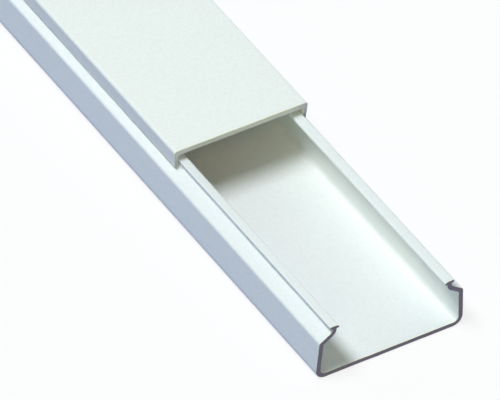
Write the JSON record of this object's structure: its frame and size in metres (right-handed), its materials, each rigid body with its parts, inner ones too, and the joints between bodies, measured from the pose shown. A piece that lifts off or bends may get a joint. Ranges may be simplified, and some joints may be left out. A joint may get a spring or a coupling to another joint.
{
  "type": "cord cover raceway",
  "caption": "Straight white plastic cord cover raceway: a flat-backed channel with hooked rims and a clip-over lid that slides along it, for hiding cables on a wall.",
  "frame": {"origin": "middle of the channel's flat back, halfway along the channel", "axes": "+X along the raceway towards the end that the lid leaves open, +Y across it, +Z away from the wall"},
  "size_m": [0.4657, 0.04, 0.018],
  "materials": {
    "channel_pvc": "white rigid PVC as extruded, satin, with sawn ends",
    "lid_pvc": "white rigid PVC as extruded, satin, with sawn ends"
  },
  "bodies": {
    "channel": {"base_channel": "channel_pvc"},
    "lid": {"snap_lid": "lid_pvc"}
  },
  "joints": [
    {"name": "lid_slide", "type": "slide", "parent": "channel", "child": "lid", "axis": [1, 0, 0], "range_m": [-0.2343, 0.0657]}
  ]
}
